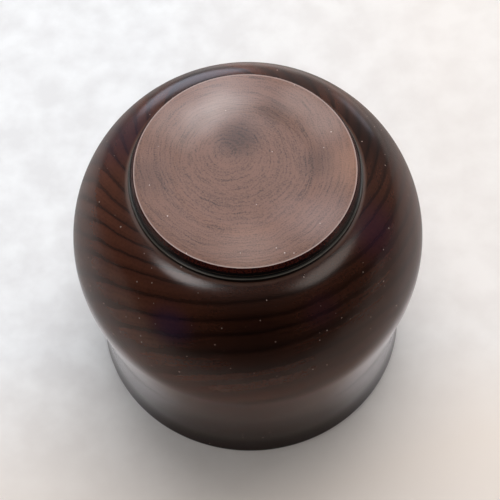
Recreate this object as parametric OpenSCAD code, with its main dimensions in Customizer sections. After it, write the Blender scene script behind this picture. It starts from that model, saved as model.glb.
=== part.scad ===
// Footed wooden cup with a round belly, a drawn-in neck and a slightly flared rim.
// It stands on its foot: the foot's face is at z = 0 and the mouth opens towards +Z.
// Every piece is turned, so each is one outline in radius and height, revolved about Z.

/* [Cup body] */
// Height from the table to the top of the rim
cup_h = 76.6; // [70:0.2:100]
// Widest diameter, around the belly
belly_d = 84; // [78:0.5:96]
// Height of the widest circle above the table
belly_h = 32.2; // [27:0.2:38]
// How far the neck is drawn in from the belly, on the radius
neck_in = 4.9; // [3:0.1:8]
// Height of the rim above the narrowest circle of the neck
rim_h = 6.6; // [5:0.1:16]
// How far the rim flares out from the neck, on the radius
rim_flare = 0.8; // [0.2:0.1:1.6]
// Wall of the body
wall = 3.4; // [2.4:0.1:4.4]
// Thickness of the rim, which is fully rounded
rim_t = 2.6; // [1.6:0.1:3.2]

/* [Foot disc] */
// Diameter of the foot's face
foot_d = 51.3; // [47:0.2:55]
// Height of the foot's flared side
foot_h = 2.25; // [1.5:0.05:4]
// How far the side leans out over that height
foot_lean = 1; // [0.2:0.1:2]
// Rounding of the face's outer edge
edge_round = 0.35; // [0.1:0.05:0.6]
// Rounding of the side's upper edge
side_round = 0.2; // [0.05:0.05:0.4]
// Width of the band between the face's edge and the ring that it stands on
edge_band = 3.1; // [2:0.1:4]
// How far that band curves up off the table at the edge
edge_lift = 0.15; // [0.05:0.05:0.4]
// Width of the flat ring that the cup stands on
stand_w = 3; // [1.5:0.1:5]
// Depth that the middle of the face is sunk
face_sink = 0.5; // [0.2:0.1:1.5]
// Width of the soft step from the standing ring down into the sunk middle
sink_step = 6.5; // [3:0.1:9]

/* [Joint of body and foot] */
// Diameter of the plug that closes the body's bore
plug_d = 42; // [34:0.5:46]
// Depth of the shallow dish in the plug's top, which is the floor of the cup
floor_dish = 0.6; // [0.2:0.1:1.5]
// Gap for glue around the plug and the collar, on the radius
glue_gap = 0.1; // [0.05:0.01:0.2]
// Height of the seam ring between the foot and the body
seam_h = 1.95; // [1.4:0.05:3]
// Height of the seam ring's lower band, below its step
band_h = 0.75; // [0.4:0.05:1]
// Width of the seam ring, from the collar to its outer side
seam_w = 2; // [1:0.1:3]
// How far the seam ring's upper band stands out past the foot
seam_step = 0.35; // [0.1:0.05:0.8]
// How far the lower band is set in from the foot's edge
band_in = 0.15; // [0.05:0.05:0.4]
// Rounding of the step's corner
step_round = 0.3; // [0.1:0.05:0.4]
// Narrow ledge of wood between the seam ring and the start of the shoulder
seat_ledge = 0.25; // [0.1:0.05:0.8]

/* [Hidden] */

// Widest gap between an arc of an outline and its chords, the most that one chord turns, and
// the faces around each turned piece
chord_gap = 0.02;
chord_turn = 18;
$fn = 120;

// The outside of the belly is three arcs. The lowest is the tight curve of the shoulder.
lower_share = 1.217; // turn of the arc below the widest circle, over the lean of its chord line
lay_share = 0.812; // how far the shoulder starts laid back, from that lean to flat
neck_share = 1.42; // steepest lean between belly and neck, over the lean of that chord line
upper_share = 0.336; // share of the curves from belly to neck that the belly's arc takes

// Places that the pieces share
foot_r = foot_d / 2;
side_r = foot_r + foot_lean;
seam_r = side_r + seam_step;
collar_r = seam_r - seam_w;
seat_r = seam_r + seat_ledge;
seat_h = foot_h + seam_h;
bore_r = plug_d / 2 + glue_gap;

// Radius of an arc that leaves its tangent by drop over a run along it
function sagitta_r(run, drop) = (run * run + drop * drop) / (2 * drop);

// Radius of an arc that leaves its tangent and ends tangent around a small round, whose
// centre lies along it by run and off it by drop
function around_r(run, drop, round_r) =
    (run * run + drop * drop - round_r * round_r) / (2 * (drop - round_r));

// Chords that keep an arc within both limits, three at least
function chords(radius, turn) =
    max(3, ceil(turn / min(chord_turn, 2 * acos(1 - chord_gap / radius))));

function on_circle(centre, radius, angle) = centre + radius * [cos(angle), sin(angle)];

// Points along an arc after its first, which the outline already holds
function arc(centre, radius, from, to) =
    let (count = chords(radius, abs(to - from)))
    [for (i = [1:count]) on_circle(centre, radius, from + (to - from) * i / count)];

// Belly below its widest circle: two arcs, tangent to each other, that leave the widest
// circle upright and reach the seat. Their turns come from the lean of the straight line
// between those two places, so the curve stays sound whatever the sizes, and the radii follow.
belly_r = belly_d / 2;
seat_run = belly_r - seat_r;
seat_rise = belly_h - seat_h;
belly_lean = atan(seat_run / seat_rise);
lower_turn = lower_share * belly_lean;
foot_turn = belly_lean + lay_share * (90 - belly_lean);
lower_in = 1 - cos(lower_turn);
shoulder_in = cos(lower_turn) - cos(foot_turn);
lower_down = sin(lower_turn);
shoulder_down = sin(foot_turn) - sin(lower_turn);
turn_det = lower_in * shoulder_down - shoulder_in * lower_down;
lower_r = (seat_run * shoulder_down - seat_rise * shoulder_in) / turn_det;
shoulder_r = (seat_rise * lower_in - seat_run * lower_down) / turn_det;
lower_c = [belly_r - lower_r, belly_h];
shoulder_c = lower_c + (lower_r - shoulder_r) * [cos(lower_turn), -sin(lower_turn)];

// Belly to neck: a rounded arc, a straight taper and a hollow arc, tangent where they meet
neck_r = belly_r - neck_in;
neck_h = cup_h - rim_h;
neck_rise = neck_h - belly_h;
s_turn = neck_share * atan(neck_in / neck_rise);
s_reach = (neck_rise * sin(s_turn) - neck_in * cos(s_turn)) / (1 - cos(s_turn));
upper_r = s_reach * upper_share;
hollow_r = s_reach - upper_r;
upper_c = [belly_r - upper_r, belly_h];
hollow_c = [neck_r + hollow_r, neck_h];

// Neck to rim: a slow flare outside and another inside, both tangent to the round rim
lip_r = rim_t / 2;
lip_c = [neck_r + rim_flare - lip_r, cup_h - lip_r];
lip_rise = cup_h - lip_r - neck_h;
flare_reach = sagitta_r(lip_rise, rim_flare);
flare_turn = asin(lip_rise / flare_reach);
flare_r = flare_reach - lip_r;
flare_c = [neck_r + flare_r, neck_h];
mouth_run = rim_flare + wall - lip_r;
mouth_r = around_r(lip_rise, mouth_run, lip_r);
mouth_turn = asin(lip_rise / (mouth_r - lip_r));
mouth_c = [neck_r - wall + mouth_r, neck_h];

// The inside keeps the wall's thickness down to the shoulder, then runs straight to the bore
inner_foot = shoulder_c + (shoulder_r - wall) * [cos(foot_turn), -sin(foot_turn)];
floor_edge_h = inner_foot.y - (inner_foot.x - bore_r) / tan(foot_turn);

cup_outline = concat(
    [[bore_r, seat_h], [seat_r, seat_h]],
    arc(shoulder_c, shoulder_r, -foot_turn, -lower_turn),
    arc(lower_c, lower_r, -lower_turn, 0),
    arc(upper_c, upper_r, 0, s_turn),
    [on_circle(hollow_c, hollow_r, 180 + s_turn)],
    arc(hollow_c, hollow_r, 180 + s_turn, 180),
    arc(flare_c, flare_r, 180, 180 - flare_turn),
    arc(lip_c, lip_r, -flare_turn, 180 - mouth_turn),
    arc(mouth_c, mouth_r, 180 - mouth_turn, 180),
    arc(hollow_c, hollow_r + wall, 180, 180 + s_turn),
    [on_circle(upper_c, upper_r - wall, s_turn)],
    arc(upper_c, upper_r - wall, s_turn, 0),
    arc(lower_c, lower_r - wall, 0, -lower_turn),
    arc(shoulder_c, shoulder_r - wall, -lower_turn, -foot_turn),
    [[bore_r, floor_edge_h]]
);

// Underside of the foot: a sunk middle, a soft step of two arcs, the flat standing ring,
// and a band that curves up to the rounded edge
side_tilt = atan(foot_lean / (foot_h - edge_lift));
edge_c = [foot_r + edge_round * (tan(side_tilt) - 1 / cos(side_tilt)), edge_lift + edge_round];
stand_out_r = foot_r - edge_band;
stand_in_r = stand_out_r - stand_w;
sink_r = stand_in_r - sink_step;
step_r = sagitta_r(sink_step / 2, face_sink / 2);
step_turn = asin(sink_step / 2 / step_r);
lift_r = around_r(edge_c.x - stand_out_r, edge_c.y, edge_round);
lift_turn = asin((edge_c.x - stand_out_r) / (lift_r - edge_round));

// Upper edge of the flared side
side_c = [side_r - side_round / cos(side_tilt) - side_round * tan(side_tilt), foot_h - side_round];

// Floor of the cup: the top of the plug, a shallow dish whose edge meets the body's inside
plug_r = bore_r - glue_gap;
dish_r = sagitta_r(plug_r, floor_dish);
dish_turn = asin(plug_r / dish_r);

foot_outline = concat(
    [[0, face_sink], [sink_r, face_sink]],
    arc([sink_r, face_sink - step_r], step_r, 90, 90 - step_turn),
    arc([stand_in_r, step_r], step_r, -90 - step_turn, -90),
    [[stand_out_r, 0]],
    arc([stand_out_r, lift_r], lift_r, -90, -90 + lift_turn),
    arc(edge_c, edge_round, -90 + lift_turn, -side_tilt),
    arc(side_c, side_round, -side_tilt, 90),
    [[collar_r, foot_h], [collar_r, seat_h], [plug_r, seat_h], [plug_r, floor_edge_h]],
    arc([0, floor_edge_h - floor_dish + dish_r], dish_r, -90 + dish_turn, -90)
);

// Seam ring: a lower band, a small rounded step and an upper band under the body's seat
band_r = side_r - band_in;
step_h = foot_h + band_h;
seam_outline = concat(
    [[collar_r + glue_gap, foot_h], [band_r, foot_h], [band_r, step_h]],
    [[seam_r - step_round, step_h]],
    arc([seam_r - step_round, step_h + step_round], step_round, -90, 0),
    [[seam_r, seat_h], [collar_r + glue_gap, seat_h]]
);

module turned(outline) {
    rotate_extrude() polygon(outline);
}

module cup_body() {
    color("#3b2017") turned(cup_outline);
}

module foot_disc() {
    color("#7a5a4e") turned(foot_outline);
}

module seam_ring() {
    color("#15110f") turned(seam_outline);
}

cup_body();
foot_disc();
seam_ring();
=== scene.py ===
# %% [markdown]
# A footed wooden cup, turned on a lathe and finished with dark lacquer. The photograph shows
# it upside down on a pale table, seen from above its foot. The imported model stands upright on
# its foot, so the camera looks up at it from below, and the table of the photograph is a
# plane that touches the rim. Sizes below are in millimetres and are turned to metres where a
# mesh or a lamp is made.

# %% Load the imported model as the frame
from math import asin, atan, ceil, cos, degrees, pi, radians, sin, tan

import bmesh
import bpy
from mathutils import Matrix, Vector


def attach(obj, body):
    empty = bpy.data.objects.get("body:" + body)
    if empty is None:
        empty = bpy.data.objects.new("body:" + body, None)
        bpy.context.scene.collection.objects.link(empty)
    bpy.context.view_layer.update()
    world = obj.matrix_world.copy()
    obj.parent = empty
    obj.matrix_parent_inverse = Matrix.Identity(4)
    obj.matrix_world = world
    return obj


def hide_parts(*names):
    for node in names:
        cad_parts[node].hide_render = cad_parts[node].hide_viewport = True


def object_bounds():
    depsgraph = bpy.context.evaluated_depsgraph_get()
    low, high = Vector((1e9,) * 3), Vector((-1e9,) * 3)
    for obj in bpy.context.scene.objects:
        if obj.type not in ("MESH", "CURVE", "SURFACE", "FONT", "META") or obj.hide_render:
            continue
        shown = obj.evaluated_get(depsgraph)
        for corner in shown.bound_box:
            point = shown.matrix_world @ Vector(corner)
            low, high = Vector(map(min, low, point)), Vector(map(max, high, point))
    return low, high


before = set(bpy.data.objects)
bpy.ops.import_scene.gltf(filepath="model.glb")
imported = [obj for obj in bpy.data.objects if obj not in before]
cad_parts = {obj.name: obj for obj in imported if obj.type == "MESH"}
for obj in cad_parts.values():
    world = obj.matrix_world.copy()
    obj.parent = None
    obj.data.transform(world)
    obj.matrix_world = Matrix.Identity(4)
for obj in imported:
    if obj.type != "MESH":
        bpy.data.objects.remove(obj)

MM = 0.001
cad_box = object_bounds()
cad_size = [(high - low) / MM for low, high in zip(*cad_box)]
print("packed box", [round(d, 2) for d in cad_size], "mm; pieces", sorted(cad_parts))

# %% [markdown]
# The outline of a turned piece is drawn the way a turner draws it, with a rule and a pair of
# compasses. A vertex is carried along a straight line by extruding it, and along an arc by
# spinning it about the arc's centre, so neighbouring arcs that share a tangent join without a
# kink. Spinning the finished outline once round the cup's axis then makes the whole piece.
# This is better than a ready-made cylinder pushed into shape, because every curve keeps its
# exact radius.

# %% Helpers to draw an outline and to turn it
LATHE_STEPS = 288           # faces round a piece: too fine for its edge to look faceted
ARC_TURN = 3.0              # degrees that one step of an arc may turn
ARC_CHORD = 1.2             # mm that one step of an arc may be long
FEWEST, MOST = 3, 40        # steps in an arc
SAME_PLACE = 0.002          # mm within which two vertices are merged
SHARP = 30                  # degrees between two faces past which their edge is a sharp one


def start(bm, r, z):
    """The outline's first vertex, at a radius and a height."""
    return bm.verts.new((r * MM, 0, z * MM))


def line(bm, last, r, z):
    """Carries the outline from its last vertex along a straight line."""
    new = bmesh.ops.extrude_vert_indiv(bm, verts=[last])["verts"][0]
    new.co = (r * MM, 0, z * MM)
    return new


def arc(bm, last, centre, turn):
    """Carries the outline round a centre (r, z), anticlockwise for a positive turn in radians."""
    pivot = Vector((centre[0] * MM, 0, centre[1] * MM))
    reach = (last.co - pivot).length / MM
    steps = max(FEWEST, ceil(degrees(abs(turn)) / ARC_TURN), ceil(abs(turn) * reach / ARC_CHORD))
    made = bmesh.ops.spin(
        bm, geom=[last], cent=pivot, axis=(0, -1, 0), angle=turn, steps=min(steps, MOST),
        use_merge=False, use_duplicate=False)
    return [g for g in made["geom_last"] if isinstance(g, bmesh.types.BMVert)][0]


def turn_piece(name, bm):
    """Spins the outline once round Z, closes its seam and poles, and makes the object."""
    bmesh.ops.spin(
        bm, geom=bm.verts[:] + bm.edges[:], cent=(0, 0, 0), axis=(0, 0, 1),
        angle=2 * pi, steps=LATHE_STEPS, use_merge=True, use_duplicate=False)
    bmesh.ops.remove_doubles(bm, verts=bm.verts[:], dist=SAME_PLACE * MM)
    loose = [e for e in bm.edges if not e.link_faces]
    bmesh.ops.delete(bm, geom=loose, context="EDGES")
    bmesh.ops.recalc_face_normals(bm, faces=bm.faces[:])
    mesh = bpy.data.meshes.new(name)
    bm.to_mesh(mesh)
    bm.free()
    mesh.shade_smooth()
    mesh.set_sharp_from_angle(angle=radians(SHARP))
    piece = bpy.data.objects.new(name, mesh)
    bpy.context.scene.collection.objects.link(piece)
    print(name, len(mesh.polygons), "faces,", [round(d / MM, 2) for d in piece.dimensions], "mm")
    return piece


print("a face on the belly is", round(pi * cad_size[0] / LATHE_STEPS, 2), "mm wide")

# %% [markdown]
# The three pieces meet at the foot: the body sits on the black seam ring, and the foot's collar
# and plug run up through both. A few driving sizes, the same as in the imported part, set where
# they meet. The places that they share are worked out from those once, so that the pieces
# can't drift apart.

# %% Sizes that the pieces share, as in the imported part
CUP_H = 76.6
FOOT_H, FOOT_R, FOOT_LEAN = 2.25, 25.65, 1.0
SEAM_H, SEAM_STEP, SEAM_W, SEAT_LEDGE = 1.95, 0.35, 2.0, 0.25
PLUG_R, GLUE_GAP = 21.0, 0.1
BELLY_R, BELLY_H, NECK_IN, RIM_H = 42.0, 32.2, 4.9, 6.6
RIM_FLARE, WALL, RIM_T = 0.8, 3.4, 2.6
# Shares that say how far each arc of the outline turns or reaches
LOWER_SHARE, LAY_SHARE, NECK_SHARE, UPPER_SHARE = 1.217, 0.812, 1.42, 0.336

side_r = FOOT_R + FOOT_LEAN
seam_r = side_r + SEAM_STEP
collar_r = seam_r - SEAM_W
seat_r = seam_r + SEAT_LEDGE
seat_h = FOOT_H + SEAM_H
bore_r = PLUG_R + GLUE_GAP
print("the body's seat is at radius", round(seat_r, 2), "and height", round(seat_h, 2), "mm")

# %% [markdown]
# The belly leaves its widest circle upright and closes in towards the foot through a full arc
# and a tight one, which is the shoulder that the light catches. Their turns come from how far
# the straight line between the widest circle and the seat leans. Two equations, one for the
# run inwards and one for the way down, then give both radii.

# %% Arcs of the belly, below its widest circle
seat_run, seat_rise = BELLY_R - seat_r, BELLY_H - seat_h
belly_lean = atan(seat_run / seat_rise)
lower_turn = LOWER_SHARE * belly_lean
foot_turn = belly_lean + LAY_SHARE * (pi / 2 - belly_lean)
lower_in = 1 - cos(lower_turn)
lower_down = sin(lower_turn)
shoulder_in = cos(lower_turn) - cos(foot_turn)
shoulder_down = sin(foot_turn) - sin(lower_turn)
turn_det = lower_in * shoulder_down - shoulder_in * lower_down
lower_r = (seat_run * shoulder_down - seat_rise * shoulder_in) / turn_det
shoulder_r = (seat_rise * lower_in - seat_run * lower_down) / turn_det
lower_c = (BELLY_R - lower_r, BELLY_H)
shoulder_c = (lower_c[0] + (lower_r - shoulder_r) * cos(lower_turn),
              BELLY_H - (lower_r - shoulder_r) * sin(lower_turn))
print("shoulder arc %.1f mm, belly arc %.1f mm" % (shoulder_r, lower_r))

# %% [markdown]
# Above the widest circle a rounded arc runs through a short straight taper into a hollow one,
# and the neck ends in a slow flare with a round lip. Each arc of the flare leaves the neck
# upright and ends tangent to the lip's small round, so the drinking edge feels like one curve.

# %% Arcs of the neck and the lip


def sagitta_r(run, drop):
    """Radius of an arc that leaves its tangent by drop over a run along it."""
    return (run * run + drop * drop) / (2 * drop)


def around_r(run, drop, r):
    """Radius of an arc that leaves its tangent and ends tangent around a small round."""
    return (run * run + drop * drop - r * r) / (2 * (drop - r))


neck_r, neck_h = BELLY_R - NECK_IN, CUP_H - RIM_H
neck_rise = neck_h - BELLY_H
s_turn = NECK_SHARE * atan(NECK_IN / neck_rise)
s_reach = (neck_rise * sin(s_turn) - NECK_IN * cos(s_turn)) / (1 - cos(s_turn))
upper_r = s_reach * UPPER_SHARE
hollow_r = s_reach - upper_r
upper_c = (BELLY_R - upper_r, BELLY_H)
hollow_c = (neck_r + hollow_r, neck_h)

lip_r = RIM_T / 2
lip_rise = RIM_H - lip_r
lip_c = (neck_r + RIM_FLARE - lip_r, CUP_H - lip_r)
flare_reach = sagitta_r(lip_rise, RIM_FLARE)
flare_turn = asin(lip_rise / flare_reach)
flare_c = (neck_r + flare_reach - lip_r, neck_h)
mouth_r = around_r(lip_rise, RIM_FLARE + WALL - lip_r, lip_r)
mouth_turn = asin(lip_rise / (mouth_r - lip_r))
mouth_c = (neck_r - WALL + mouth_r, neck_h)
print("upper arc %.1f mm, hollow %.1f mm, flare %.1f mm" % (upper_r, hollow_r, flare_reach))

# %% [markdown]
# The body is one closed outline: out along the seat, up the outside, over the lip, down the
# inside and back to the bore. The inside arcs share the centres of the outside ones, which
# keeps the wall's thickness. A turner hollows the inside in the same way, by feel for an even
# wall.

# %% Turn the body
inner_foot_r = shoulder_c[0] + (shoulder_r - WALL) * cos(foot_turn)
inner_foot_h = shoulder_c[1] - (shoulder_r - WALL) * sin(foot_turn)
floor_edge_h = inner_foot_h - (inner_foot_r - bore_r) / tan(foot_turn)
taper_in, taper_up = cos(s_turn), sin(s_turn)

bm = bmesh.new()
first = v = start(bm, bore_r, seat_h)
v = line(bm, v, seat_r, seat_h)
v = arc(bm, v, shoulder_c, foot_turn - lower_turn)
v = arc(bm, v, lower_c, lower_turn)
v = arc(bm, v, upper_c, s_turn)
v = line(bm, v, hollow_c[0] - hollow_r * taper_in, hollow_c[1] - hollow_r * taper_up)
v = arc(bm, v, hollow_c, -s_turn)
v = arc(bm, v, flare_c, -flare_turn)
v = arc(bm, v, lip_c, pi - mouth_turn + flare_turn)
v = arc(bm, v, mouth_c, mouth_turn)
v = arc(bm, v, hollow_c, s_turn)
v = line(bm, v, upper_c[0] + (upper_r - WALL) * taper_in,
         upper_c[1] + (upper_r - WALL) * taper_up)
v = arc(bm, v, upper_c, -s_turn)
v = arc(bm, v, lower_c, -lower_turn)
v = arc(bm, v, shoulder_c, lower_turn - foot_turn)
v = line(bm, v, bore_r, floor_edge_h)
bm.edges.new((v, first))
body = turn_piece("cup_body_turned", bm)

# %% [markdown]
# The foot is a thin disc with a flared side. Its face is sunk a little in the middle, so the
# cup stands on a flat ring, and a soft step joins the two. A plug behind the face closes the
# bore of the body and its top is the floor of the cup. The step and the ring are only half a
# millimetre deep, but they are modelled rather than left to a bump, since the light on them
# is what shows that the face isn't flat.

# %% Turn the foot
EDGE_ROUND, SIDE_ROUND, EDGE_BAND, EDGE_LIFT = 0.35, 0.2, 3.1, 0.15
STAND_W, FACE_SINK, SINK_STEP, FLOOR_DISH = 3.0, 0.5, 6.5, 0.6
FLAT_RINGS = (2, 5, 9)      # radii that divide the sunk middle, so that no face is a long sliver

side_tilt = atan(FOOT_LEAN / (FOOT_H - EDGE_LIFT))
edge_c = (FOOT_R + EDGE_ROUND * (tan(side_tilt) - 1 / cos(side_tilt)), EDGE_LIFT + EDGE_ROUND)
side_c = (side_r - SIDE_ROUND / cos(side_tilt) - SIDE_ROUND * tan(side_tilt),
          FOOT_H - SIDE_ROUND)
stand_out_r = FOOT_R - EDGE_BAND
stand_in_r = stand_out_r - STAND_W
sink_r = stand_in_r - SINK_STEP
step_r = sagitta_r(SINK_STEP / 2, FACE_SINK / 2)
step_turn = asin(SINK_STEP / 2 / step_r)
lift_r = around_r(edge_c[0] - stand_out_r, edge_c[1], EDGE_ROUND)
lift_turn = asin((edge_c[0] - stand_out_r) / (lift_r - EDGE_ROUND))
dish_r = sagitta_r(PLUG_R, FLOOR_DISH)
dish_turn = asin(PLUG_R / dish_r)

bm = bmesh.new()
v = start(bm, 0, FACE_SINK)
for r in (*FLAT_RINGS, sink_r):
    v = line(bm, v, r, FACE_SINK)
v = arc(bm, v, (sink_r, FACE_SINK - step_r), -step_turn)
v = arc(bm, v, (stand_in_r, step_r), step_turn)
v = line(bm, v, stand_out_r, 0)
v = arc(bm, v, (stand_out_r, lift_r), lift_turn)
v = arc(bm, v, edge_c, pi / 2 - lift_turn - side_tilt)
v = line(bm, v, side_c[0] + SIDE_ROUND * cos(side_tilt), side_c[1] - SIDE_ROUND * sin(side_tilt))
v = arc(bm, v, side_c, side_tilt + pi / 2)
v = line(bm, v, collar_r, FOOT_H)
v = line(bm, v, collar_r, seat_h)
v = line(bm, v, PLUG_R, seat_h)
v = line(bm, v, PLUG_R, floor_edge_h)
v = arc(bm, v, (0, floor_edge_h - FLOOR_DISH + dish_r), -dish_turn)
foot = turn_piece("foot_disc_turned", bm)

# %% [markdown]
# Between foot and body runs a narrow ring of black lacquer putty, turned with a small step.
# It is a separate ring, as it is laid on the foot's collar before the body is glued down.

# %% Turn the seam ring
BAND_H, BAND_IN, STEP_ROUND = 0.75, 0.15, 0.3
band_top = FOOT_H + BAND_H
ring_in = collar_r + GLUE_GAP

bm = bmesh.new()
first = v = start(bm, ring_in, FOOT_H)
v = line(bm, v, side_r - BAND_IN, FOOT_H)
v = line(bm, v, side_r - BAND_IN, band_top)
v = line(bm, v, seam_r - STEP_ROUND, band_top)
v = arc(bm, v, (seam_r - STEP_ROUND, band_top + STEP_ROUND), pi / 2)
v = line(bm, v, seam_r, seat_h)
v = line(bm, v, ring_in, seat_h)
bm.edges.new((v, first))
seam = turn_piece("seam_ring_turned", bm)

# %% [markdown]
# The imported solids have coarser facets, so each turned piece stands for one of them here. The
# solids stay in the frame, for collision. Nothing on a cup moves by itself, so all three pieces
# ride on its only body.

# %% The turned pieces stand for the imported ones
for piece, node, slot in ((body, "cup_body", "lacquered_wood"), (foot, "foot_disc", "foot_wood"),
                          (seam, "seam_ring", "lacquer_putty")):
    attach(piece, "root")
    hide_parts(node)
    print(piece.name, "stands for", node)

# %% [markdown]
# Materials are small node trees. One helper adds any node, sets its properties, fills its
# inputs and links other nodes' outputs into it. It returns an output, so that each step reads
# on from the one before. A Map Range node is filled in its own order: a value, the span that it
# comes from, and the span that it goes to. Colours are written as sRGB hex, as read from a
# picture, and one function turns them to the linear values that Blender works in.

# %% Helpers for colours and nodes


def linear(hex_colour):
    """The linear colour, with full alpha, of an sRGB hex colour."""
    parts = [int(hex_colour[i:i + 2], 16) / 255 for i in (1, 3, 5)]
    return tuple(c / 12.92 if c <= 0.04045 else ((c + 0.055) / 1.055) ** 2.4 for c in parts) + (1,)


def add(tree, kind, inputs=(), out=0, stops=(), **settings):
    """Adds a node and returns one of its outputs. Inputs go by name or place in a dict, or one
    after the other; another node's output is linked. Stops are a ramp's (place, grey) pairs."""
    node = tree.nodes.new("ShaderNode" + kind)
    for key, value in settings.items():
        setattr(node, key, value)
    for key, value in inputs.items() if isinstance(inputs, dict) else enumerate(inputs):
        if isinstance(value, bpy.types.NodeSocket):
            tree.links.new(value, node.inputs[key])
        else:
            node.inputs[key].default_value = value
    for i, (place, grey) in enumerate(stops):
        marks = node.color_ramp.elements
        mark = marks[i] if i < 2 else marks.new(place)
        mark.position = place
        mark.color = (grey, grey, grey, 1)
    return node.outputs[out]


def material(name):
    """A node material, its tree and shader, and the piece's own position in millimetres."""
    m = bpy.data.materials.new(name)
    m.use_nodes = True
    tree = m.node_tree
    place = add(tree, "TexCoord", out="Object")
    mm = add(tree, "VectorMath", {0: place, "Scale": 1 / MM}, operation="SCALE")
    return m, tree, tree.nodes["Principled BSDF"], mm


print("mid grey #808080 is", round(linear("#808080")[0], 3), "in linear light")

# %% [markdown]
# Growth rings are what the eye reads as wood. In this cup the trunk's own centre line runs
# through the foot and leans towards the back as it rises, so the rings cross the belly's front
# as low arches. A point's distance from that leaning line gives its ring: a float curve turns
# the distance into a ring number from the radii of the dark lines, and the fraction of
# that number runs from pale early wood to the dark late wood at each ring's end. Because it
# is a distance in space and not a picture, the same rings run through the wall to the inside.

# %% Growth rings of the body
# Radii in mm of the dark lines, from the trunk's centre line outwards
RING_LINES = (4.0, 7.0, 10.5, 13.5, 17.0, 20.0, 23.5, 26.5, 30.0, 33.0, 36.0, 38.8, 42.1,
              44.9, 49.4, 53.95, 57.95, 62.6, 68.2, 71.4, 75.0, 79.5, 84.0, 88.0, 92.0)
CURVE_REACH = 100.0             # mm from the centre line that the curve covers
PITH_AT_FOOT = (3.9, 14.6)      # where the centre line crosses the foot, in mm
PITH_LEAN = (0.304, 0.564)      # how far it moves sideways for each mm up


def ring_number(tree, mm, wobble):
    """Ring number at a point, from its distance to the trunk's leaning centre line."""
    height = add(tree, "SeparateXYZ", (mm,), out="Z")
    level = add(tree, "CombineXYZ", (height, height, height))
    pith = add(tree, "VectorMath", (level, (*PITH_LEAN, 1), (*PITH_AT_FOOT, 0)),
               operation="MULTIPLY_ADD")
    away = add(tree, "VectorMath", (mm, pith), out="Value", operation="DISTANCE")
    uneven = add(tree, "Math", (wobble, away), operation="ADD")
    share = add(tree, "Math", (uneven, CURVE_REACH), operation="DIVIDE")
    place = add(tree, "FloatCurve", {"Value": share})
    count = len(RING_LINES) + 2.0
    curve = place.node.mapping
    points = curve.curves[0].points
    points[0].location, points[1].location = (0, 0), (1, 1)
    for i, radius in enumerate(RING_LINES):
        points.new(radius / CURVE_REACH, (i + 1) / count)
    for p in points:
        p.handle_type = "VECTOR"
    curve.update()
    return add(tree, "Math", (place, count), operation="MULTIPLY")


print(len(RING_LINES), "dark lines, the last one", RING_LINES[-1], "mm from the centre line")

# %% [markdown]
# Up close, a ring isn't a clean stripe. It wanders a little, it is dark for only the last part
# of the year, and thin streaks and short fibres run in it. Three noises do that: a slow one in
# space that shifts the rings, a one-dimensional one that reads the ring number and so runs
# along the rings, and a fine one for the fibres. Their product is the wood's brightness.

# %% Grain of the body
WANDER_SIZE, WANDER = 14.0, 1.2     # mm: length of the rings' waves, and how far they stray
STREAKS = 7.0                       # streaks in a year
FIBRE = 0.7                         # mm: a fibre is finer, and is drawn this coarse to show
# Brightness through a year, from one dark line to the next
BODY_YEAR = ((0.0, 0.36), (0.08, 0.74), (0.2, 1.0), (0.55, 0.94), (0.78, 0.7), (0.94, 0.28),
             (1.0, 0.36))


def body_grain(tree, mm):
    """Brightness of the body's wood, about 0 to 1."""
    slow = add(tree, "TexNoise", {"Vector": mm, "Scale": 1 / WANDER_SIZE, "Detail": 2.0})
    wobble = add(tree, "MapRange", (slow, 0.0, 1.0, -WANDER, WANDER))
    number = ring_number(tree, mm, wobble)
    part = add(tree, "Math", (number,), operation="FRACT")
    late = add(tree, "ValToRGB", (part,), stops=BODY_YEAR)
    fibre = add(tree, "TexNoise", {"Vector": mm, "Scale": 1 / FIBRE, "Detail": 3.0})
    fibre = add(tree, "MapRange", (fibre, 0.3, 0.7, 0.78, 1.16))
    streak = add(tree, "TexNoise", {"W": number, "Scale": STREAKS, "Detail": 2.0},
                 noise_dimensions="1D")
    streak = add(tree, "MapRange", (streak, 0.3, 0.7, 0.84, 1.1))
    fine = add(tree, "Math", (fibre, streak), operation="MULTIPLY")
    return add(tree, "Math", (late, fine), operation="MULTIPLY")


# Darker end grain, which is also painted shade: strongest on the front of the shoulder, where
# little light falls
def left_by_end_grain_and_shade(tree):
    """Share of the colour that stays, least across the trunk: end grain and painted shade."""
    facing = add(tree, "NewGeometry", out="Normal")
    trunk = Vector((*PITH_LEAN, 1)).normalized()
    across = add(tree, "VectorMath", (facing, trunk), out="Value", operation="DOT_PRODUCT")
    cut = add(tree, "Math", (across,), operation="ABSOLUTE")
    return add(tree, "MapRange", (cut, 0.45, 1.0, 1.0, 0.35))


print("the trunk leans", round(degrees(atan(Vector(PITH_LEAN).length)), 1), "degrees")

# %% [markdown]
# Lacquer that is wiped on by hand is never even. Dark patches paint shade where less light falls:
# on the front, which faces the camera's dim side, and at the back beside the foot. A few other
# patches give the wood a dark purple cast. Each is a soft round patch that is laid on the colour,
# set to sit as in the photograph. Specks of dust that dried into the coat come from a Voronoi
# pattern: each cell has at most one, and its random colour says how large.

# %% Painted shade and uneven lacquer: soft patches, and specks of dust
# Ways to lay a patch: darkening paints shade, screening paints sheen, mixing lays a tint
PAINTED_SHADE, TINT, PAINTED_SHEEN = "MULTIPLY", "MIX", "SCREEN"
BARE_CELLS = 0.55       # share of the cells that have no speck
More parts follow.
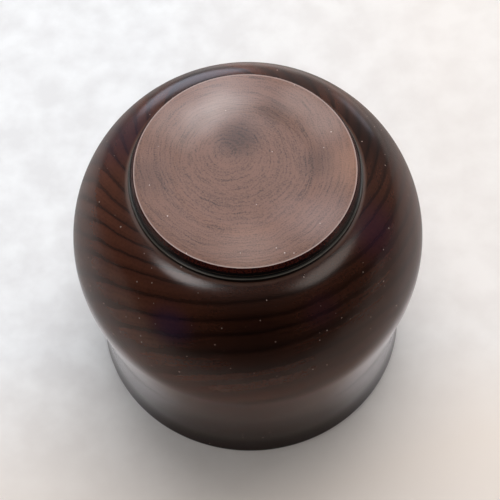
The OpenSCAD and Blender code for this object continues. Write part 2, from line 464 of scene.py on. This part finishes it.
# Centre of a patch and its radius in mm, its tint, how much of it shows, and how it is laid on
# Darkening patches paint shade, mostly on the front; tint patches give a purple cast
BODY_SHADE_AND_TINT_PATCHES = (
    ((0.0, -36.0, 14.0), 20.0, "#6e6a6a", 0.7, PAINTED_SHADE),
    ((15.0, -36.0, 18.0), 14.0, "#6e6a6a", 0.5, PAINTED_SHADE),
    ((-18.0, -35.0, 20.0), 14.0, "#6e6a6a", 0.35, PAINTED_SHADE),
    ((18.6, -32.5, 13.5), 8.5, "#2c1e40", 0.45, TINT),
    ((-29.5, -14.0, 7.0), 11.0, "#3c1c34", 0.35, TINT),
    ((-16.0, -31.9, 10.4), 7.0, "#341828", 0.35, TINT),
    ((28.0, 14.0, 7.0), 15.0, "#2a1a2c", 0.55, TINT),
    ((-29.0, 12.0, 8.0), 18.0, "#6e6a6a", 0.8, PAINTED_SHADE),
    ((-14.0, 28.0, 6.0), 15.0, "#6e6a6a", 0.7, PAINTED_SHADE),
    ((12.0, 28.0, 6.0), 16.0, "#6e6a70", 0.7, PAINTED_SHADE))


def patched(tree, mm, colour, patches):
    """Lays the patches on a colour, one after the other."""
    for centre, radius, tint, share, way in patches:
        gap = add(tree, "VectorMath", (mm, centre), out="Value", operation="DISTANCE")
        soft = add(tree, "MapRange", (gap, 0.0, radius, share, 0.0),
                   interpolation_type="SMOOTHERSTEP")
        colour = add(tree, "Mix", {0: soft, 6: colour, 7: linear(tint)}, out=2,
                     data_type="RGBA", blend_type=way)
    return colour


def specks(tree, mm, apart, size):
    """Sparse round specks: 1 on a speck of about size mm, 0 elsewhere."""
    near = add(tree, "TexVoronoi", {"Vector": mm, "Scale": 1 / apart}, out="Distance")
    chance = add(tree, "SeparateColor", (near.node.outputs["Color"],))
    reach = add(tree, "MapRange", (chance, BARE_CELLS, 1.0, 0.0, size / apart))
    return add(tree, "Math", (near, reach), operation="LESS_THAN")


print(len(BODY_SHADE_AND_TINT_PATCHES), "patches in the body's lacquer")

# %% [markdown]
# The body is hardwood with dark lacquer rubbed into it and polished: the colour lies in the wood,
# and a clear hard coat lies on it. To the eye that gives a warm dark brown that is deepest in the
# late wood and where end grain shows, under soft blurred reflections that turn grey and bright
# towards the edges. The end grain drinks more lacquer, so the wood darkens where the surface cuts
# across the trunk; that darkening is partly painted shade, strongest on the front of the shoulder,
# where little light falls. Towards the rim, which rests on the table, painted shade darkens the
# wood most of all.

# %% Lacquered wood: turned hardwood, lacquer rubbed in and polished
LACQUER_IOR = 1.52
RIM_SHADE = (43.0, 72.0)         # heights between which painted shade darkens the wood towards the rim
WORN_CORNER = (27.95, 27.6)     # radii beside the joint between which the coat is worn thin
PORE, PORE_DEPTH = 0.5, 0.006   # mm: pores under the polish, drawn coarser than real ones


def lacquered_wood(name):
    """Dark wiped lacquer on wood, with a polished and faintly uneven surface."""
    m, tree, shader, mm = material(name)
    colour = add(tree, "Mix", {0: body_grain(tree, mm), 6: linear("#1a0a06"),
                               7: linear("#583021")}, out=2, data_type="RGBA")
    # End grain darkens the wood, partly as painted shade
    colour = add(tree, "Mix", {0: 1.0, 6: colour, 7: left_by_end_grain_and_shade(tree)}, out=2,
                 data_type="RGBA", blend_type="MULTIPLY")
    # Painted shade and purple tints, in soft patches
    colour = patched(tree, mm, colour, BODY_SHADE_AND_TINT_PATCHES)
    # Painted shade: the wood darkens towards the rim, which rests on the table
    height = add(tree, "SeparateXYZ", (mm,), out="Z")
    to_rim_shade = add(tree, "MapRange", (height, *RIM_SHADE, 0.0, 0.85))
    colour = add(tree, "Mix", {0: to_rim_shade, 6: colour, 7: linear("#100806")}, out=2,
                 data_type="RGBA")
    flat = add(tree, "VectorMath", (mm, (1, 1, 0)), operation="MULTIPLY")
    radius = add(tree, "VectorMath", (flat,), out="Value", operation="LENGTH")
    worn = add(tree, "MapRange", (radius, *WORN_CORNER, 0.0, 0.5))
    colour = add(tree, "Mix", {0: worn, 6: colour, 7: linear("#5c3a29")}, out=2,
                 data_type="RGBA")
    colour = add(tree, "Mix", {0: specks(tree, mm, 1.7, 0.19), 6: colour,
                               7: linear("#a08f86")}, out=2, data_type="RGBA")
    pores = add(tree, "TexNoise", {"Vector": mm, "Scale": 1 / PORE, "Detail": 1.0})
    uneven = add(tree, "Bump", {"Strength": 1.0, "Distance": PORE_DEPTH * MM, "Height": pores})
    tree.links.new(uneven, shader.inputs["Normal"])
    tree.links.new(colour, shader.inputs["Base Color"])
    shader.inputs["Roughness"].default_value = 0.21
    shader.inputs["IOR"].default_value = LACQUER_IOR
    return m


body_wood = lacquered_wood("wiped_lacquer_on_turned_hardwood")
body.data.materials.append(body_wood)
print(body_wood.name, "has", len(body_wood.node_tree.nodes), "nodes")

# %% [markdown]
# The foot's face cuts almost square across the trunk, so its rings are closed loops. They are
# not quite circles: the centre that they are drawn round drifts as they grow. The distance
# from that drifting centre, with a slow and a quick wobble, takes the place of a plain radius.
# It is made once and used for the rings, the fibres and the fine lines, so all three follow
# each other.

# %% Rings of the foot's face
FACE_PITH, FACE_DRIFT = (4.4, 6.0), (-1.8, -3.4)    # mm: innermost centre, and how far it drifts
DRIFT_REACH = 17.0      # mm from the pith over which it drifts
FACE_RING = 2.3         # mm from one dark line to the next, as drawn
YEAR_SIZE = 3.7         # mm over which the spacing of the lines changes
WOBBLES = ((13.0, 0.9), (2.2, 0.16))    # mm: length of a wave, and how far it shifts a ring
FACE_YEAR = ((0.0, 0.35), (0.05, 0.75), (0.16, 1.0), (0.6, 0.95), (0.86, 0.62), (0.96, 0.0),
             (1.0, 0.35))


def from_face_pith(tree, flat):
    """Distance in mm from the face's drifting pith, along the wobbling rings."""
    off = add(tree, "VectorMath", (flat, (*FACE_PITH, 0)), operation="SUBTRACT")
    near = add(tree, "VectorMath", (off,), out="Value", operation="LENGTH")
    share = add(tree, "MapRange", (near, 0.0, DRIFT_REACH))
    drift = add(tree, "VectorMath", {0: (*FACE_DRIFT, 0), "Scale": share}, operation="SCALE")
    away = add(tree, "VectorMath", (off, drift), out="Value", operation="DISTANCE")
    for size, reach in WOBBLES:
        wave = add(tree, "TexNoise", {"Vector": flat, "Scale": 1 / size, "Detail": 2.0})
        shift = add(tree, "MapRange", (wave, 0.2, 0.8, -reach, reach))
        away = add(tree, "Math", (away, shift), operation="ADD")
    return away


def face_rings(tree, flat, away):
    """Brightness of the rings: 1 in early wood, and less in the lines, which come and go."""
    years = add(tree, "TexNoise", {"W": away, "Scale": 1 / YEAR_SIZE, "Detail": 0.0},
                noise_dimensions="1D")
    shift = add(tree, "MapRange", (years, 0.0, 1.0, -1.1, 1.1))
    even = add(tree, "Math", (away, FACE_RING), operation="DIVIDE")
    number = add(tree, "Math", (even, shift), operation="ADD")
    part = add(tree, "Math", (number,), operation="FRACT")
    late = add(tree, "ValToRGB", (part,), stops=FACE_YEAR)
    blotch = add(tree, "TexNoise", {"Vector": flat, "Scale": 1 / 6, "Detail": 2.0})
    strength = add(tree, "MapRange", (blotch, 0.35, 0.65, 0.08, 0.4))
    dark = add(tree, "Math", (1.0, late), operation="SUBTRACT")
    shown = add(tree, "Math", (strength, dark), operation="MULTIPLY")
    return add(tree, "Math", (1.0, shown), operation="SUBTRACT")


print("about", round(FOOT_R / FACE_RING), "rings from the middle of the face to its edge")

# %% [markdown]
# Sanding leaves end grain finely rough. It shows as short dark fibres along the rings, a few
# longer streaks, fine lines, and an even grit over all of it. The fibres are a noise whose
# space is squeezed across the rings and stretched along them. Real grit is under a tenth of a
# millimetre. It is drawn three times as coarse, or the picture would lose it.

# %% Fibres and grit of the foot's face
GRIT = 0.32                             # mm, as drawn
FINE_LINE = 0.5                         # mm between fine lines
ACROSS, ALONG = 3.0, 0.3                # squeeze across the rings, stretch along them


def face_fibres(tree, mm, flat, away):
    """Small steps of brightness to add to the rings, each from dark to pale."""
    x = add(tree, "SeparateXYZ", (flat,), out="X")
    y = x.node.outputs["Y"]
    stretched = [add(tree, "Math", (place, scale), operation="MULTIPLY")
                 for place, scale in ((away, ACROSS), (x, ALONG), (y, ALONG))]
    along = add(tree, "CombineXYZ", stretched)
    fibres = add(tree, "TexNoise", {"Vector": along, "Scale": 1.0, "Detail": 3.0})
    streaks = add(tree, "TexNoise", {"Vector": along, "Scale": 1 / 2.6, "Detail": 2.0})
    grit = add(tree, "TexNoise", {"Vector": mm, "Scale": 1 / GRIT, "Detail": 1.0})
    lines = add(tree, "TexNoise", {"W": away, "Scale": 1 / FINE_LINE, "Detail": 1.0},
                noise_dimensions="1D")
    return (add(tree, "MapRange", (fibres, 0.3, 0.7, -0.26, 0.2)),
            add(tree, "MapRange", (grit, 0.3, 0.7, -0.38, 0.36)),
            add(tree, "MapRange", (lines, 0.3, 0.7, -0.16, 0.12)),
            add(tree, "MapRange", (streaks, 0.57, 0.74, 0.0, -0.35)))


print("about", round(2 * FOOT_R / GRIT), "grains of grit across the face")

# %% [markdown]
# The face is sanded end grain under a thin coat of lacquer: pinkish brown and half matt. Its rim
# is paler, partly where it is rubbed down each time that the cup is set down and partly as a
# painted highlight on the rounded edge. Turning leaves fine grooves round the axis. They spread
# the light across themselves, so the sheen gathers into soft wedges towards the lamps. The patches
# are partly uneven lacquer and partly painted light: the pale ones paint the broad soft part of
# that sheen, and the dark ones paint shade, most of all in the sunk middle.

# %% Foot face: end grain, sanded and thinly lacquered
RUBBED_AND_HIGHLIT = (25.2, 25.5)               # radii between which the paler rim begins, rubbed and with a painted highlight
GROOVE, GROOVE_DEPTH = 0.45, 0.03   # mm: turning grooves, drawn coarser than real ones
# Pale patches paint sheen and dark patches paint shade; the last patch is a warm tint
FACE_PATCHES_WITH_PAINTED_LIGHT = (
    ((9.8, 14.1, 0.4), 7.5, "#7c7472", 0.9, PAINTED_SHEEN),
    ((5.0, 17.2, 0.4), 7.0, "#7c7472", 0.9, PAINTED_SHEEN),
    ((5.0, 19.0, 0.3), 20.0, "#7c7476", 0.5, PAINTED_SHEEN),
    ((-11.0, -12.0, 0.4), 9.0, "#7c7478", 0.15, PAINTED_SHEEN),
    ((0.0, 17.6, 0.4), 5.0, "#7c7472", 0.35, PAINTED_SHEEN),
    ((13.6, 9.0, 0.4), 6.0, "#7c7472", 0.3, PAINTED_SHEEN),
    ((-19.0, 12.4, 0.2), 9.0, "#7c7472", 0.4, PAINTED_SHEEN),
    ((-13.0, 18.0, 0.2), 8.0, "#7c7472", 0.4, PAINTED_SHEEN),
    ((0.0, -21.5, 0.2), 12.0, "#7c6c66", 0.3, PAINTED_SHEEN),
    ((-19.0, -15.0, 0.2), 11.0, "#7c7478", 0.3, PAINTED_SHEEN),
    ((-17.0, 1.0, 0.2), 7.0, "#9a9494", 0.45, PAINTED_SHADE),
    ((6.0, 24.0, 0.2), 12.0, "#7c7472", 0.3, PAINTED_SHEEN),
    ((18.0, 15.0, 0.2), 10.0, "#7c7472", 0.35, PAINTED_SHEEN),
    ((1.2, 8.5, 0.5), 8.5, "#9a9494", 0.8, PAINTED_SHADE),
    ((-7.0, 15.0, 0.4), 6.0, "#9a9494", 0.3, PAINTED_SHADE),
    ((22.0, -1.0, 0.2), 8.0, "#9a9494", 0.35, PAINTED_SHADE),
    ((-25.5, 0.0, 0.1), 11.0, "#b07a58", 0.28, TINT))


def foot_face(name):
    """Sanded end grain under a thin coat, with turning grooves."""
    m, tree, shader, mm = material(name)
    flat = add(tree, "VectorMath", (mm, (1, 1, 0)), operation="MULTIPLY")
    away = from_face_pith(tree, flat)
    tone = face_rings(tree, flat, away)
    for step in face_fibres(tree, mm, flat, away):
        tone = add(tree, "Math", (tone, step), operation="ADD")
    colour = add(tree, "Mix", {0: tone, 6: linear("#32211b"), 7: linear("#7e5848")}, out=2,
                 data_type="RGBA")
    # Patches of painted sheen and painted shade, partly also uneven lacquer
    colour = patched(tree, mm, colour, FACE_PATCHES_WITH_PAINTED_LIGHT)
    radius = add(tree, "VectorMath", (flat,), out="Value", operation="LENGTH")
    # The paler rim: partly rubbed, partly a painted highlight on the rounded edge
    rubbed_and_highlit = add(tree, "MapRange", (radius, *RUBBED_AND_HIGHLIT))
    colour = add(tree, "Mix", {0: rubbed_and_highlit, 6: colour, 7: linear("#b29b93")}, out=2,
                 data_type="RGBA")
    colour = add(tree, "Mix", {0: specks(tree, mm, 2.0, 0.15), 6: colour,
                               7: linear("#d8c8c0")}, out=2, data_type="RGBA")
    groove = add(tree, "TexNoise", {"W": radius, "Scale": 1 / GROOVE, "Detail": 2.0},
                 noise_dimensions="1D")
    bump = add(tree, "Bump", {"Strength": 1.0, "Distance": GROOVE_DEPTH * MM, "Height": groove})
    tree.links.new(bump, shader.inputs["Normal"])
    tree.links.new(colour, shader.inputs["Base Color"])
    shader.inputs["Roughness"].default_value = 0.33
    return m


face_wood = foot_face("thin_lacquer_on_sanded_end_grain")
print(face_wood.name, "has", len(face_wood.node_tree.nodes), "nodes")

# %% [markdown]
# The foot's side has the full dark coat, so little grain shows: it is a deep red brown with a
# tight gloss. The black of the joint is brushed on over its upper half, and along the very top a
# thin pale band paints the highlight on the small round there. All three are bands by height,
# because brush and lathe both work round the axis, and so does the round.

# %% Foot side: the same wood under a full coat
BLACKENED = (1.2, 1.45)     # heights between which the brown turns to black
TOP_HIGHLIGHT = (1.98, 2.1)      # heights between which the painted highlight along the top begins
COAT_GRAIN = 0.5            # mm


def dark_coat(name):
    """A full coat of lacquer, red brown below and black above, with a painted top highlight."""
    m, tree, shader, mm = material(name)
    height = add(tree, "SeparateXYZ", (mm,), out="Z")
    grain = add(tree, "TexNoise", {"Vector": mm, "Scale": 1 / COAT_GRAIN, "Detail": 2.0})
    grain = add(tree, "MapRange", (grain, 0.3, 0.7))
    colour = add(tree, "Mix", {0: grain, 6: linear("#24090a"), 7: linear("#47190f")}, out=2,
                 data_type="RGBA")
    # Black of the joint, then the painted highlight along the top
    for heights, tint in ((BLACKENED, "#0a0707"), (TOP_HIGHLIGHT, "#6e5245")):
        share = add(tree, "MapRange", (height, *heights))
        colour = add(tree, "Mix", {0: share, 6: colour, 7: linear(tint)}, out=2,
                     data_type="RGBA")
    tree.links.new(colour, shader.inputs["Base Color"])
    shader.inputs["Roughness"].default_value = 0.24
    return m


side_coat = dark_coat("full_lacquer_coat_on_turned_side")
print(side_coat.name, "has", len(side_coat.node_tree.nodes), "nodes")

# %% [markdown]
# The seam ring is lacquer thickened to a putty, turned and polished once it is hard. It is black
# and glossy, and the corner of its small step is painted grey as a highlight: the thin bright line
# that the eye follows round the foot.

# %% Seam ring: polished putty
CORNER_HIGHLIGHT = 0.2                # mm of the step's corner that has the painted highlight
CORNER_HIGHLIGHT_FADE = (0.06, 0.1)   # mm over which it fades in below and out above


def putty(name):
    """Black polished putty with a painted highlight on its step's corner."""
    m, tree, shader, mm = material(name)
    height = add(tree, "SeparateXYZ", (mm,), out="Z")
    # The painted highlight runs along the step's corner
    low, high = band_top - 0.02, band_top + CORNER_HIGHLIGHT
    begins = add(tree, "MapRange", (height, low, low + CORNER_HIGHLIGHT_FADE[0]))
    ends = add(tree, "MapRange", (height, high, high - CORNER_HIGHLIGHT_FADE[1]))
    corner = add(tree, "Math", (begins, ends), operation="MULTIPLY")
    colour = add(tree, "Mix", {0: corner, 6: linear("#0a0a0a"), 7: linear("#57524a")}, out=2,
                 data_type="RGBA")
    tree.links.new(colour, shader.inputs["Base Color"])
    shader.inputs["Roughness"].default_value = 0.25
    return m


seam_putty = putty("polished_black_lacquer_putty")
seam.data.materials.append(seam_putty)
print(seam_putty.name, "has", len(seam_putty.node_tree.nodes), "nodes")

# %% [markdown]
# One turned mesh carries both finishes of the foot. Each of its faces is given the one or the
# other by where it lies: the face's finish reaches just over the rounded edge.

# %% Where the foot's two finishes meet
FACE_TOP, FACE_OUT = 0.75, 25.55    # greatest height and radius of the face's finish, in mm
foot.data.materials.append(face_wood)
foot.data.materials.append(side_coat)
for polygon in foot.data.polygons:
    middle_of = polygon.center / MM
    on_face = middle_of.z < FACE_TOP and middle_of.xy.length < FACE_OUT
    polygon.material_index = 0 if on_face else 1
print(sum(p.material_index == 0 for p in foot.data.polygons), "polygons have the face's finish")

# %% [markdown]
# The photograph was taken with a long lens from above the foot. A camera, with its distance,
# slope and tilt, was fitted to the cup's outline and foot. In the cup's own frame that camera
# lies below the cup on the side of -Y and looks up. Its lens has a 150 mm focal length on a
# 36 mm sensor. It aims a hair off the cup's middle, as the picture is framed, so no shift is
# needed.

# %% Camera
PIXELS, FOCAL_PX, SENSOR = 500, 2083.0, 36.0
SLOPE, DISTANCE, ROLL = radians(61.88), 508.1, radians(-2.26)
OFF_X, OFF_Y = -1.66, -2.26     # pixels, right and down, from the picture's middle to the cup's

middle = Vector((0, 0, CUP_H / 2))
look = Vector((0, cos(SLOPE), sin(SLOPE)))
level_right, level_up = Vector((-1, 0, 0)), Vector((0, sin(SLOPE), -cos(SLOPE)))
right = level_right * cos(ROLL) + level_up * sin(ROLL)
up = level_up * cos(ROLL) - level_right * sin(ROLL)
eye = middle - look * DISTANCE
aim = middle + (right * -OFF_X + up * OFF_Y) * DISTANCE / FOCAL_PX
back = (eye - aim).normalized()
right = up.cross(back).normalized()
up = back.cross(right)

cam = bpy.data.objects.new("camera", bpy.data.cameras.new("camera"))
bpy.context.scene.collection.objects.link(cam)
cam.data.sensor_width = SENSOR
cam.data.lens = FOCAL_PX / PIXELS * SENSOR
cam.data.clip_start, cam.data.clip_end = 0.01, 20
turned = Matrix((right, up, back)).transposed().to_4x4()
cam.matrix_world = Matrix.Translation(eye * MM) @ turned
bpy.context.scene.camera = cam
print("camera at", [round(c, 1) for c in eye], "mm, lens", round(cam.data.lens, 1), "mm")

# %% [markdown]
# The cup was photographed on a pale mottled table, which a sheet of paper could stand for. Here
# the table lies at the rim, between the cup and the lamps of the upright views, so it is clear
# from behind. One function gives every plane of the stage that surface, and leaves its colour to
# be worked out first. The photographed table is a little warmer in front and on the right; that
# warmth is painted light, from a warm light in front and from light that the brown cup throws
# back.

# %% Surfaces of the stage
BLOTCH = 8.0                                # mm across a blotch
MATT, FAINT_GLOSS = 0.9, 0.1
WARM_LIGHT = "#f2e7de"
WARM_LIGHT_FRONT = (-8.0, -52.0, 0.0, 0.8)        # y from and to in mm, and share of warm there
WARM_LIGHT_RIGHT = (25.0, -55.0, 0.0, 0.5)        # the same for x, since -X is the picture's right


def mottled(tree, mm, light, shade):
    """A pale colour with soft blotches."""
    blotch = add(tree, "TexNoise", {"Vector": mm, "Scale": 1 / BLOTCH, "Detail": 4.0})
    tone = add(tree, "MapRange", (blotch, 0.35, 0.65))
    return add(tree, "Mix", {0: tone, 6: linear(shade), 7: linear(light)}, out=2,
               data_type="RGBA")


def with_painted_warm_light(tree, mm, colour, warm):
    """The colour, with painted warm light towards the front and the right of the picture."""
    x = add(tree, "SeparateXYZ", (mm,), out="X")
    front = add(tree, "MapRange", (x.node.outputs["Y"], *WARM_LIGHT_FRONT))
    side = add(tree, "MapRange", (x, *WARM_LIGHT_RIGHT))
    share = add(tree, "Math", (front, side), operation="ADD", use_clamp=True)
    return add(tree, "Mix", {0: share, 6: colour, 7: linear(warm)}, out=2, data_type="RGBA")


def surface(tree, shader, colour, front):
    """Sets the matt colour, and shows the front only: from behind the plane is clear."""
    tree.links.new(colour, shader.inputs["Base Color"])
    shader.inputs["Roughness"].default_value = MATT
    shader.inputs["Specular IOR Level"].default_value = FAINT_GLOSS
    behind = add(tree, "NewGeometry", out="Backfacing")
    both = add(tree, "MixShader", (behind, front, add(tree, "BsdfTransparent")))
    tree.links.new(both, tree.nodes["Material Output"].inputs["Surface"])


table_mat, tree, shader, mm = material("pale_mottled_table")
# The table's colour, with painted warm light in front and on the right
pale = with_painted_warm_light(tree, mm, mottled(tree, mm, "#f3f4f6", "#e7e7e9"), WARM_LIGHT)
surface(tree, shader, pale, shader.outputs[0])
print(table_mat.name, "has", len(tree.nodes), "nodes")

# %% [markdown]
# Gloss shows whatever stands round an object, and in a studio that is cards as much as lamps.
# The dark neck of the cup mirrors the table, and the photograph shows that reflection dimmer than
# the table itself, with a bright patch from the back right and a faint glow at the rim. A second
# copy of the table, which only reflections see, is dimmed and brightened to match. Its dimming far
# in front paints the shadow of the camera, and its glow is painted light. Each fade says along
# which axis it runs, from where to where in mm, and between which levels. Reach is counted from
# the middle of the foot's face, and is 85 mm at the rim.

# %% Copy of the table for the reflections
FADES = {
    "beside": ("reach", 86.0, 98.0, 0.95, 0.3),
    "beyond": ("reach", 130.0, 340.0, 1.0, 0.4),
    "behind": ("y", 100.0, 200.0, 0.0, 3.0),
    "behind_right": ("x", 80.0, -20.0, 0.2, 1.0),
    "front": ("reach", 86.0, 98.0, 0.55, 0.4),
    "camera_shadow": ("y", -80.0, -150.0, 1.0, 0.12),
    # far in front: the painted shadow of the camera
    "to_front": ("y", -26.0, -50.0, 0.0, 1.0),
    "glow": ("reach", 86.0, 104.0, 0.32, 0.0),
    "glow_to_front": ("y", -20.0, -36.0, 1.0, 0.0)}

card_mat, tree, shader, mm = material("dimmed_table_for_reflections")
pale = with_painted_warm_light(tree, mm, mottled(tree, mm, "#fdfcfb", "#f3f0ee"), "#f8e4d8")
reach = add(tree, "VectorMath", (mm,), out="Value", operation="LENGTH")
x = add(tree, "SeparateXYZ", (mm,), out="X")
axes = {"reach": reach, "x": x, "y": x.node.outputs["Y"]}
fade = {name: add(tree, "MapRange", (axes[axis], *span), interpolation_type="SMOOTHSTEP")
        for name, (axis, *span) in FADES.items()}

boost = add(tree, "Math", (fade["behind"], fade["behind_right"], 1.0), operation="MULTIPLY_ADD")
side = add(tree, "Math", (fade["beside"], fade["beyond"]), operation="MULTIPLY")
side = add(tree, "Math", (side, boost), operation="MULTIPLY")
front = add(tree, "Math", (fade["front"], fade["camera_shadow"]), operation="MULTIPLY")
level = add(tree, "Mix", {0: fade["to_front"], 2: side, 3: front})
dimmed = add(tree, "Mix", {0: 1.0, 6: pale, 7: level}, out=2, data_type="RGBA",
             blend_type="MULTIPLY")
glow = add(tree, "Math", (fade["glow"], fade["glow_to_front"]), operation="MULTIPLY")
shader.inputs["Emission Color"].default_value = linear("#f4f6ff")
tree.links.new(glow, shader.inputs["Emission Strength"])
surface(tree, shader, dimmed, shader.outputs[0])
print(card_mat.name, "has", len(tree.nodes), "nodes")

# %% [markdown]
# The upright views need a floor under the foot. Near the cup it takes its shadow. Further out
# it turns into the same white as the background, which hides the line where the two meet, as
# a paper sweep does in a studio.

# %% Floor for the upright views
BACKDROP = (0.9, 0.89, 0.88, 1)     # linear, shown as it is written
SWEEP = (120.0, 420.0)              # mm from the axis between which floor turns to backdrop

floor_mat, tree, shader, mm = material("pale_mottled_floor")
reach = add(tree, "VectorMath", (mm,), out="Value", operation="LENGTH")
white = add(tree, "Emission", {"Color": BACKDROP})
swept = add(tree, "MapRange", (reach, *SWEEP))
sweep = add(tree, "MixShader", (swept, shader.outputs[0], white))
surface(tree, shader, mottled(tree, mm, "#f0efed", "#e4e2df"), sweep)
print(floor_mat.name, "has", len(tree.nodes), "nodes")

# %% [markdown]
# The table is made three times: one that the camera sees, one that throws light back on the
# cup, and one that the gloss reflects. Each can then be as bright as it has to be. A round hole
# inside the lip keeps the cup's mouth open. A circle is extruded once, and its outer ring is
# pushed out to the plane's edges.

# %% Helpers to make the planes
HOLE_R, HOLE_STEPS = 35.6, 96
TINY = 1e-6


def stage_object(name, bm, facing, mat):
    """Makes a plane's object, with its front up (1) or down (-1)."""
    bm.normal_update()
    bmesh.ops.reverse_faces(bm, faces=[f for f in bm.faces if f.normal.z * facing < 0])
    mesh = bpy.data.meshes.new(name)
    bm.to_mesh(mesh)
    bm.free()
    mesh.materials.append(mat)
    plane = bpy.data.objects.new(name, mesh)
    bpy.context.scene.collection.objects.link(plane)
    print(name, [round(d / MM) for d in plane.dimensions], "mm")
    return plane


def table(name, x0, x1, y0, y1, mat, tilt=0.0):
    """A plane at the rim with a hole for the mouth. Tilt raises it towards +Y and -X."""
    bm = bmesh.new()
    bmesh.ops.create_circle(bm, segments=HOLE_STEPS, radius=HOLE_R * MM)
    made = bmesh.ops.extrude_edge_only(bm, edges=bm.edges[:])["geom"]
    for v in [g for g in made if isinstance(g, bmesh.types.BMVert)]:
        way = v.co.normalized()
        to_x = (x1 if way.x > 0 else -x0) / max(abs(way.x), TINY)
        to_y = (y1 if way.y > 0 else -y0) / max(abs(way.y), TINY)
        v.co = way * min(to_x, to_y) * MM
    for v in bm.verts:
        v.co.z = CUP_H * MM + tilt * (v.co.y - v.co.x)
    return stage_object(name, bm, -1, mat)


print("the hole is", HOLE_STEPS, "steps of", round(2 * pi * HOLE_R / HOLE_STEPS, 2), "mm")

# %% [markdown]
# The table that the camera sees reaches just past the picture and leans by about a degree, at
# most 0.8 mm at the rim. Views from the cup's own height then see its clear side and not a
# thin white edge. The other two copies are level and reach as far as their light matters.

# %% Make the planes
SEEN = (-85, 85, -62, 112)          # x and y reach of the table in the picture, mm
TABLE = (-420, 420, -190, 520)      # x and y reach of the whole table, mm
LEAN = 0.0145                       # rise for each mm along x and along y
FLOOR_REACH = 1500

table_seen = table("table_seen", *SEEN, table_mat, tilt=LEAN)
table_lit = table("table_lit", *TABLE, table_mat)
table_card = table("table_card", *TABLE, card_mat)
bm = bmesh.new()
bmesh.ops.create_grid(bm, x_segments=1, y_segments=1, size=FLOOR_REACH * MM)
floor = stage_object("floor", bm, 1, floor_mat)

for o in (table_seen, floor):
    o.visible_diffuse = o.visible_glossy = o.visible_transmission = o.visible_shadow = False
for o in (table_lit, table_card):
    o.visible_camera = o.visible_transmission = o.visible_shadow = False
table_lit.visible_glossy = table_card.visible_diffuse = False

# %% [markdown]
# Dark lacquer shows little of its own colour and much of what it reflects, so most of this
# cup's shape is told by its highlights. The lamps are soft panels. Some show only in the gloss
# and draw those highlights: windows low behind the cup and bright parts of a ceiling. Others
# light only matt colour, and give the table and the wood their level without a highlight.

# %% Helper for a soft panel


def lamp(name, azimuth, elevation, distance, width, height, level, colour="#ffffff", seen="both"):
    """A soft panel aimed at the cup. Azimuth 0 is the camera's side and 90 the picture's right;
    elevation is above the photographed table. Level 1 lights a facing white surface to white.
    Seen says whether the panel shows in gloss, in diffuse light or in both."""
    a, e = radians(azimuth), radians(elevation)
    towards = Vector((-sin(a) * cos(e), -cos(a) * cos(e), -sin(e)))
    data = bpy.data.lights.new(name, "AREA")
    data.shape = "ELLIPSE"
    data.size, data.size_y = width, height
    data.energy = pi * pi * distance ** 2 * level
    data.color = linear(colour)[:3]
    o = bpy.data.objects.new(name, data)
    bpy.context.scene.collection.objects.link(o)
    o.location = middle * MM + towards * distance
    o.rotation_mode = "QUATERNION"
    o.rotation_quaternion = towards.to_track_quat("Z", "Y")
    o.visible_glossy, o.visible_diffuse = seen != "diffuse", seen != "gloss"
    print(name, round(data.energy, 2), "W")


print("a panel of level 1, a metre away, has", round(pi * pi, 2), "W")

# %% [markdown]
# Each call reads: name, azimuth and elevation in degrees, then distance, width and height in
# metres, level, colour, and where the panel is seen. The last two stand above the upright cup,
# behind the photographed table, and light it in the upright views.

# %% Set the lamps
lamp("window_behind", 194, 9, 1.0, 0.54, 0.5, 0.15, "#e0e8ff", "gloss")
lamp("ceiling_left", -73, 67, 0.9, 0.27, 0.32, 0.155, "#f8f3f3", "gloss")
lamp("ceiling_right", 72, 60, 0.9, 0.5, 0.34, 0.11, "#fff6ee", "gloss")
lamp("skylight_behind", 180, 58, 0.9, 0.5, 0.3, 0.115, "#f4f4ff", "gloss")
lamp("skylight_left", -143, 58, 0.9, 0.35, 0.3, 0.03)
lamp("skylight_right", 154, 62, 0.9, 0.35, 0.3, 0.03)
lamp("window_right", 146, 2, 1.0, 0.3, 0.3, 0.02, "#f4f0ff", "gloss")
lamp("sky_above", 180, 85, 1.2, 1.0, 1.0, 0.27, seen="diffuse")
lamp("sky_behind", 172, 64, 1.2, 1.7, 0.9, 0.4, seen="diffuse")
lamp("wall_behind", 176, 30, 1.2, 1.6, 0.5, 0.56, seen="diffuse")
lamp("wall_right", 128, 18, 1.2, 0.8, 0.5, 0.1, seen="diffuse")
lamp("wall_left", -66, 30, 1.2, 0.8, 0.6, 0.06, seen="diffuse")
lamp("wall_ahead", 0, 55, 1.2, 1.2, 0.8, 0.16, seen="diffuse")
lamp("studio_left", -120, -50, 1.2, 0.9, 0.9, 0.5)
lamp("studio_right", 125, -50, 1.2, 0.9, 0.9, 0.6)

# %% [markdown]
# The world is the room: dim where the photographer stands and brighter behind the cup, so the
# edges of the gloss turn pale at the back. A ray that comes straight from the camera sees the
# backdrop's white instead, which puts no light on the cup.

# %% World
ROOM = ((0.0, 0.01), (0.4, 0.03), (0.65, 0.12), (0.85, 0.2), (1.0, 0.5))   # front to back
world = bpy.data.worlds.new("studio")
bpy.context.scene.world = world
world.use_nodes = True
tree = world.node_tree
way = add(tree, "TexCoord", out="Generated")
y = add(tree, "SeparateXYZ", (way,), out="Y")
room = add(tree, "ValToRGB", (add(tree, "MapRange", (y, -1.0, 1.0)),), stops=ROOM)
by_camera = add(tree, "LightPath", out="Is Camera Ray")
shown = add(tree, "Mix", {0: by_camera, 6: room, 7: BACKDROP}, out=2, data_type="RGBA")
tree.links.new(shown, tree.nodes["Background"].inputs["Color"])
bpy.context.scene.view_settings.view_transform = "Standard"
print("world with", len(tree.nodes), "nodes;", len(bpy.data.lights), "lamps")
